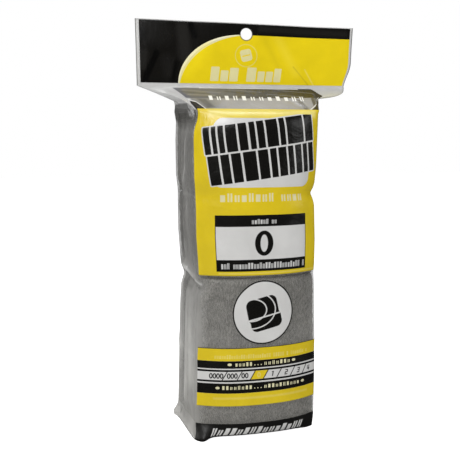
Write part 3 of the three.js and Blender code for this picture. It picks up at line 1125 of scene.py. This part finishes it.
def print_header(press):
    box, ring, stroke, lay = press.box, press.ring, press.stroke, press.lay
    press.up = press.up - (SEAL_UP - SEAL)  # heights above the floor, not places up the film

    black = press.mask_of(box(-87, 87.8, HEADER_FOOT, TOP - 0.6))
    lay(black, INK_BLACK)
    # Painted reflections: the black mirrors its surroundings in soft patches, between painted dark
    # folds that mirror nothing.
    for *line, tone in (
        (-72, 333, -68, 316, 22.0, 7.0, 0.0105), (-53, 335, -49.5, 303, 10.0, 5.0, 0.0190),
        (-66, 309, -63, 290, 9.0, 6.0, 0.0110), (-83, 312, -86, 296, 6.0, 3.0, 0.0150),
        (10, 331.5, 86, 330.5, 5.0, 3.0, 0.0150), (-86, 330, -84, 320, 6.0, 5.0, 0.0006),
        (-72.5, 312, -84, 287.5, 5.0, 1.5, 0.0004), (-46, 335, -41.5, 322, 5.0, 2.5, 0.0006),
        (-57.5, 304, -61, 288, 3.0, 3.0, 0.0006),
    ):
        lay(stroke(*line), (tone, 0.94 * tone, 0.84 * tone, 1), 0.85, within=black)
    # Painted shade along both folded ends of the header.
    lay([box(-91, -89.4, 245, 375), box(89.4, 91, 245, 375)], FOLD_SHADE, 0.7)

    # The yellow field runs from the curve to the right end.
    over = press.mask_of(box(-100, 87.8, HEADER_FOOT, 360))
    field = [ring(ARC_ACROSS, ARC_UP, ARC_HALF), box(ARC_ACROSS, 90.5, 280, 326.3)]
    field = press.mask_of(field) * over
    lay(field, HEADER_YELLOW)
    # A pale crescent runs inside the curve, widest in the middle.
    left = field * press.mask_of(box(-100, ARC_ACROSS, 280, 340, soft=2.0))
    for slide, colour in ((8.5, INK_CREAM), (4.6, (0.97, 0.93, 0.66, 1))):
        half = ARC_HALF[0] + slide, ARC_HALF[1] + slide
        lay(press.cut(left, ring(ARC_ACROSS + slide, ARC_UP - slide, half)), colour)
    # Painted shade and highlights from slow waves in the film lie on the yellow.
    for *line, width, colour, cover in (
        (12, 330, 30, 296, 5.0, (0.66, 0.49, 0.010, 1), 0.30),
        (24, 330, 44, 294, 6.0, (1.0, 0.80, 0.060, 1), 0.35),
        (-52, 292, -30, 320, 9.0, (1.0, 0.80, 0.012, 1), 0.45),
        (40, 302, 56, 284, 1.0, (0.50, 0.37, 0.020, 1), 0.45),
        (50, 300, 60, 284, 1.0, (1.0, 0.84, 0.220, 1), 0.50),
    ):
        lay(stroke(*line, width, 0.9 * width), colour, cover, within=field)

    # Painted shade round the hole's rim, the emblem in its ring, and the row of bars
    lay(ring(0, HOLE_UP, HOLE_RADIUS + 0.7, HOLE_RADIUS - 1.0), FOLD_SHADE, 0.75)
    lay(ring(0, 309.8, 9.4, 8.6), (0.84, 0.76, 0.22, 1), 0.6)
    emblem = box(-4.6, 4.6, 305.2, 314.8, tilt=EMBLEM_TILT, round_=2.2)
    lay(emblem, (0.82, 0.77, 0.42, 1), 0.9)
    lay(box(-3.4, 3.4, 309.4, 310.3, tilt=EMBLEM_TILT, round_=0.4), HEADER_YELLOW)
    bars = [
        box(x0, x1, 288.6, 299.6 + more, lean=0.12, round_=0.8)
        for x0, x1, more in (
            (-29.6, -22.6, 0.6), (-21.4, -15.0, -2.2), (-13.8, -6.6, 0.0), (0.6, 8.4, 0.6),
            (9.6, 15.6, -2.4), (16.8, 22.6, -2.4), (23.8, 29.8, 0.2),
        )
    ]
    lay(bars, (0.84, 0.79, 0.44, 1), 0.9)


# %% [markdown]
# ## Folds of the clear sides
#
# Folds in the film get a painted highlight on the crest, with a line of painted shade beside it.
# The sides carry the tube's two flat edges and the folds of the nip.

# %% The sides' fold lines
def joint_haze(press, start, end):
    """Film hangs loose over the joints between tiers, and hides them."""
    return press.strokes(
        (mirror * start, joint, mirror * end, joint, 2.0, 4.5)
        for mirror in (-1, 1) for joint in TIER_JOINTS
    )


def print_back(press):
    press.lay(joint_haze(press, 126, 182), press.bare, 0.42)


def print_sides(press):
    lay, strokes, tree, straight = press.lay, press.strokes, press.tree, press.across

    def wandering(scale, low, high):
        """A number that drifts between low and high as the height changes."""
        values = {"W": press.up, "Scale": scale, "Detail": 1.0}
        drift = tree.node("ShaderNodeTexNoise", values, noise_dimensions="1D")
        return tree.map(drift, 0.35, 0.65, low, high)

    # No fold of loose film is straight or even: the long ones wander and fade.
    press.across = straight + wandering(0.024, -2.2, 2.2)
    long_folds = press.mask_of(strokes([
        (-80, 243, -81, 221, 1.3, 1.6), (-81, 221, -86, 207, 1.2, 1.4),
        (-89.5, 205, -90.5, 150, 1.3, 1.8), (-91, 116, -91.5, 20, 1.3, 1.8),
        (-87.5, 108, -86.5, 24, 1.2, 1.4), (-104, 96, -107, 48, 1.0, 2.6),
        (89.5, 252, 90.5, 138, 1.3, 1.8), (91, 112, 90, 26, 1.3, 1.8),
        (80, 178, 87, 96, 1.2, 1.4), (104, 232, 110, 168, 1.0, 2.6),
        (78, 258, 74, 214, 1.2, 2.0), (104, 84, 99, 40, 1.0, 2.2),
    ]))
    lay(long_folds * wandering(0.05, 0.2, 1.0), FOLD_GLINT, 0.55)
    press.across = straight
    lay(press.stroke(-92, 138, -66, 130.5, 2.6, 2.4), FOLD_GLINT, 0.6)
    lay(strokes([
        (-116, 122, -78, 120.5, 5.0, 5.0), (-92.5, 258, -91, 206, 1.2, 1.6),
        (-76, 262, -77, 205, 1.4, 2.4), (-112, 4.5, -105, 11.5, 2.4, 1.4),
    ]), FOLD_SHADE, 0.5)
    lay(joint_haze(press, 56, 134), press.bare, 0.5)
    lay(strokes([
        (-90, 268, -90, 308.5, 1.4, 0.6), (90, 272, 90, 308.5, 1.4, 0.6),
    ]), FOLD_SHADE, 0.6)


# %% [markdown]
# ## Film
#
# The film is thin clear plastic. What makes it read as film is not its colour but its gloss
# over countless small creases, so a group draws soft crumples and fine upright pleats as
# one height. Bare film hides half or more of what lies behind it, and ink hides nearly all.

# %% Crumples, as a node group
def make_crumple_group():
    group, tree, (place,) = new_group("film crumple", ["Place"], "NodeSocketVector")
    stretched = tree.node("ShaderNodeMapping", {0: place, 3: (1.0, 0.28, 1.0)})
    pleats = tree.noise(stretched, 0.11, 3.0, roughness=0.55, distortion=0.8)
    soft = tree.noise(place, 0.055, 5.0, roughness=0.6, distortion=1.6)
    ridge = tree.math("SUBTRACT", 1.0, abs((pleats - 0.5) * 5.0), clamp=True)
    height = soft * 1.2 + ridge * 0.22
    haze = tree.noise(place, 0.035, 4.0)
    tree.give(Height=height, Haze=tree.map(haze, 0.35, 0.65))
    return group


CRUMPLE = make_crumple_group()
print("crumples:", len(CRUMPLE.nodes), "nodes")

# %% Bare film
FOOT_HIDES, BODY_HIDES, NECK_HIDES = 0.80, 0.54, 0.66  # how much bare film hides, from the foot up
INK_HIDES = 0.985
FOOT_GREY, LOWER_GREY = (0.55, 0.54, 0.51, 1), (0.66, 0.65, 0.62, 1)  # bare film in its haze, painted lighter low down
UPPER_GREY, NECK_GREY = (0.36, 0.355, 0.34, 1), (0.64, 0.635, 0.62, 1)
SMOOTH, INKED, CRUMPLED = 0.16, 0.26, 0.48  # roughness


def bare_film(tree, across, away, up, haze, tight):
    """The colour of bare film, and how much it hides. away is how far round from the front."""
    uneven = tree.map(haze, 0, 1, 0.92, 1.10)
    body = tree.map(up, 70.0, 165.0, FOOT_HIDES, BODY_HIDES)
    body = body * tree.map(away, 44.0, 61.0, *tight)
    neck_share = tree.map(up, 262.0, 272.0)
    hides = tree.map(neck_share, 0, 1, body, NECK_HIDES) * uneven
    # Painted light: bare film is lightest low on the body, a little darker at the foot and darker
    # above.
    foot = tree.colour(tree.map(up, 15.0, 70.0), FOOT_GREY, LOWER_GREY)
    bare = tree.colour(tree.map(up, 80.0, 165.0), foot, UPPER_GREY)
    bare = tree.colour(neck_share, bare, NECK_GREY)
    # The yellow print shines through the right flap.
    tint = tree.map(up, 272.0, 280.0) * tree.map(up, 309.0, 300.0)
    tint = tint * tree.map(across, 60.0, 76.0)
    tint = tint * tree.map(across, 125.0, 105.0)
    bare = tree.colour(tint, bare, (0.74, 0.71, 0.55, 1))
    # Painted shade under the flaps of the neck darkens the film and makes it hide more.
    flap_up = tree.map(away, HALF_PANEL, HALF_PANEL + 14.0, SHOULDER, SHOULDER + 6.0)
    shaded = soft_edge(up - flap_up, 1.5) * tree.map(up, 248.0, 258.0)
    bare = tree.colour(shaded, bare, (0.11, 0.108, 0.10, 1))
    return bare, tree.math("MAXIMUM", hides, shaded * 0.85)


# %% The film materials
def make_film(name, layout, gloss, tight=(1.0, 1.0), folded=False, relief=0.5):
    """A film with its print. tight is the share of the haze at a panel's middle and edges, and
    folded film carries the front's print on its back too."""
    material, tree, shader = new_material(name)
    mapped = tree.node("ShaderNodeUVMap", uv_map="film places")
    values = {0: mapped, 1: (1 / MM, 1 / MM, 1)}
    place = tree.node("ShaderNodeVectorMath", values, operation="MULTIPLY")
    across, up = tree.node("ShaderNodeSeparateXYZ", {0: place}, (0, 1))
    outputs = ("Height", "Haze")
    height, haze = tree.node("ShaderNodeGroup", {"Place": place}, outputs, node_tree=CRUMPLE)
    away = abs(across)
    bare, hides = bare_film(tree, across, away, up, haze, tight)
    if folded:
        nearer = tree.math("MINIMUM", away, tree.math("SUBTRACT", 2 * HALF_ROUND, away))
        across = nearer * tree.math("SIGN", across)
    press = Press(tree, across, up, bare)
    layout(press)
    # The film of the folded foot is crumpled too finely to mirror anything.
    crumpled = tree.map(up, 17.0, 11.0, 0.0, CRUMPLED)
    tree.fill(shader, {
        "Base Color": tree.scaled(press.colour, tree.map(haze, 0, 1, 0.94, 1.04)),
        "Alpha": tree.map(press.ink, 0, 1, hides, INK_HIDES),
        "Roughness": tree.math("MAXIMUM", tree.map(press.ink, 0, 1, SMOOTH, INKED), crumpled),
        "Normal": tree.bump(height, relief, 0.0009),
        "IOR": 1.5, "Specular IOR Level": gloss,
    })
    return material


CLEAR, FRONT, HEADER, BACK, NECK = range(5)  # their order on the bag
films = [
    make_film("clear film", print_sides, 0.7),
    make_film("printed front film", print_front, 0.5, tight=(0.22, 1.0)),
    make_film("printed header film", print_header, 0.14, folded=True, relief=0.22),
    make_film("gathered back film", print_back, 0.7, tight=(0.5, 0.5)),
    make_film("gathered neck film", print_neck, 0.5, tight=(0.22, 1.0)),
]
print("nodes in each film:", [len(film_.node_tree.nodes) for film_ in films])

# %% [markdown]
# ## Closing the bag
#
# The tube is welded along the base seal and the header's top edge. The hang hole is punched with an
# exact Boolean through both plies. Then each face gets the film that its place calls for.

# %% Weld and punch the bag
WELD = 0.06  # points of the two plies that are nearer than this become one
PUNCH_LENGTH = 40.0


def close_bag():
    mesh = bag.data
    work = bmesh.new()
    work.from_mesh(mesh)
    rows, columns = points.shape[:2]
    ends = [vert for vert in work.verts if not columns <= vert.index < (rows - 1) * columns]
    bmesh.ops.remove_doubles(work, verts=ends, dist=WELD * MM)
    bmesh.ops.recalc_face_normals(work, faces=work.faces)
    open_edges = sum(len(edge.link_faces) == 1 for edge in work.edges)
    work.to_mesh(mesh)
    work.free()
    bpy.ops.mesh.primitive_cylinder_add(
        vertices=40, radius=HOLE_RADIUS * MM, depth=PUNCH_LENGTH * MM,
        location=(0, 0, HOLE_UP * MM), rotation=(math.pi / 2, 0, 0),
    )
    punch = bpy.context.object
    cut = bag.modifiers.new("punch", "BOOLEAN")
    cut.object, cut.operation, cut.solver = punch, "DIFFERENCE", "EXACT"
    graph = bpy.context.evaluated_depsgraph_get()
    punched = bpy.data.meshes.new_from_object(bag.evaluated_get(graph))
    bag.modifiers.clear()
    bag.data = punched
    bpy.data.objects.remove(punch)
    return open_edges


print("open edges before the punch:", close_bag())

# %% A film for each face
NECK_FROM = 261.4  # across the label's yellow, where nobody sees the change of film
FRONT_HALF, NECK_HALF, BACK_FROM = 62.0, 76.0, 132.0  # how far round the tube each film reaches


def film_at(place_u, place_v):
    if place_v > SEAL_UP - 0.5:
        return HEADER
    if abs(place_u) < (NECK_HALF if place_v > SHOULDER else FRONT_HALF):
        return NECK if place_v > NECK_FROM else FRONT
    return BACK if abs(place_u) > BACK_FROM else CLEAR


bag.data.materials.clear()
for film_material in films:
    bag.data.materials.append(film_material)
uv = np.zeros(len(bag.data.loops) * 2, dtype=np.float32)
bag.data.uv_layers["film places"].data.foreach_get("uv", uv)
uv = uv.reshape(-1, 2)
for face in bag.data.polygons:
    corners = uv[face.loop_start : face.loop_start + face.loop_total]
    face.material_index = film_at(*(corners.mean(0) / MM))
    face.use_smooth = True
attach(bag, "root")
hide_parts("bag")
print("film bag:", len(bag.data.polygons), "faces")

# %% [markdown]
# ## Floor and light
#
# The pack stands on a pale floor that runs out of sight into a white surround. A large soft box at
# the front left is the main light, a weaker one fills the right, and a tall strip behind the left
# draws the bright lines along the film's folds.

# %% Floor
bpy.ops.mesh.primitive_plane_add(size=8.0, location=(0, 0, -0.0004))
floor = bpy.context.object
floor.name = "floor"
paper, paper_tree, paper_shader = new_material("pale paper")
grain = paper_tree.node("ShaderNodeTexNoise", {"Scale": 900.0, "Detail": 2.0})
seen = paper_tree.node("ShaderNodeLightPath", {}, "Is Camera Ray")
paper_tree.fill(paper_shader, {
    "Base Color": paper_tree.colour(grain, (0.80, 0.80, 0.80, 1), (0.84, 0.84, 0.84, 1)),
    "Emission Color": paper_tree.colour(seen, (0, 0, 0, 1), (0.95, 0.95, 0.95, 1)),
    "Emission Strength": 1.0, "Roughness": 0.9, "Specular IOR Level": 0.1,
})
floor.data.materials.append(paper)
floor.visible_glossy = False  # so that the black ink stays black
print("floor of", round(floor.dimensions.x), "m")


# %% Lights
def soft_box(name, place, aim, size, watts):
    light = bpy.data.lights.new(name, "AREA")
    light.shape, light.size, light.size_y = "RECTANGLE", *size
    light.energy = watts
    lamp = add_object(name, light)
    lamp.location = place
    lamp.rotation_euler = (Vector(aim) - Vector(place)).to_track_quat("-Z", "Y").to_euler()
    return lamp


centre = (0, 0, AIM_UP * MM)
lamps = [
    soft_box("key", (-1.0, -1.9, 1.5), centre, (1.1, 1.1), 34),
    soft_box("fill", (2.0, -1.2, 0.8), centre, (0.8, 1.2), 5),
    soft_box("strip", (-1.4, 0.75, 0.6), centre, (0.3, 1.3), 9),
    soft_box("top", (0.1, -0.1, 1.7), centre, (1.4, 0.4), 10),
]
print("watts:", {lamp.name: lamp.data.energy for lamp in lamps})

# %% The surround
DIFFUSE_LIGHT, MIRRORED_LIGHT = 0.15, 0.04  # how bright it is for shading, and in reflections
world = bpy.data.worlds.new("white surround")
world.use_nodes = True
sky = Tree(world.node_tree)
glossy, seen = sky.node("ShaderNodeLightPath", {}, ("Is Glossy Ray", "Is Camera Ray"))
strength = sky.map(glossy, 0, 1, DIFFUSE_LIGHT, MIRRORED_LIGHT)
strength = sky.math("MAXIMUM", strength, seen)
sky.fill(world.node_tree.nodes["Background"], {0: (1, 1, 1, 1), 1: strength})
bpy.context.scene.world = world
bpy.context.scene.view_settings.view_transform = "Standard"
print("surround:", DIFFUSE_LIGHT, "for shading,", MIRRORED_LIGHT, "in reflections")
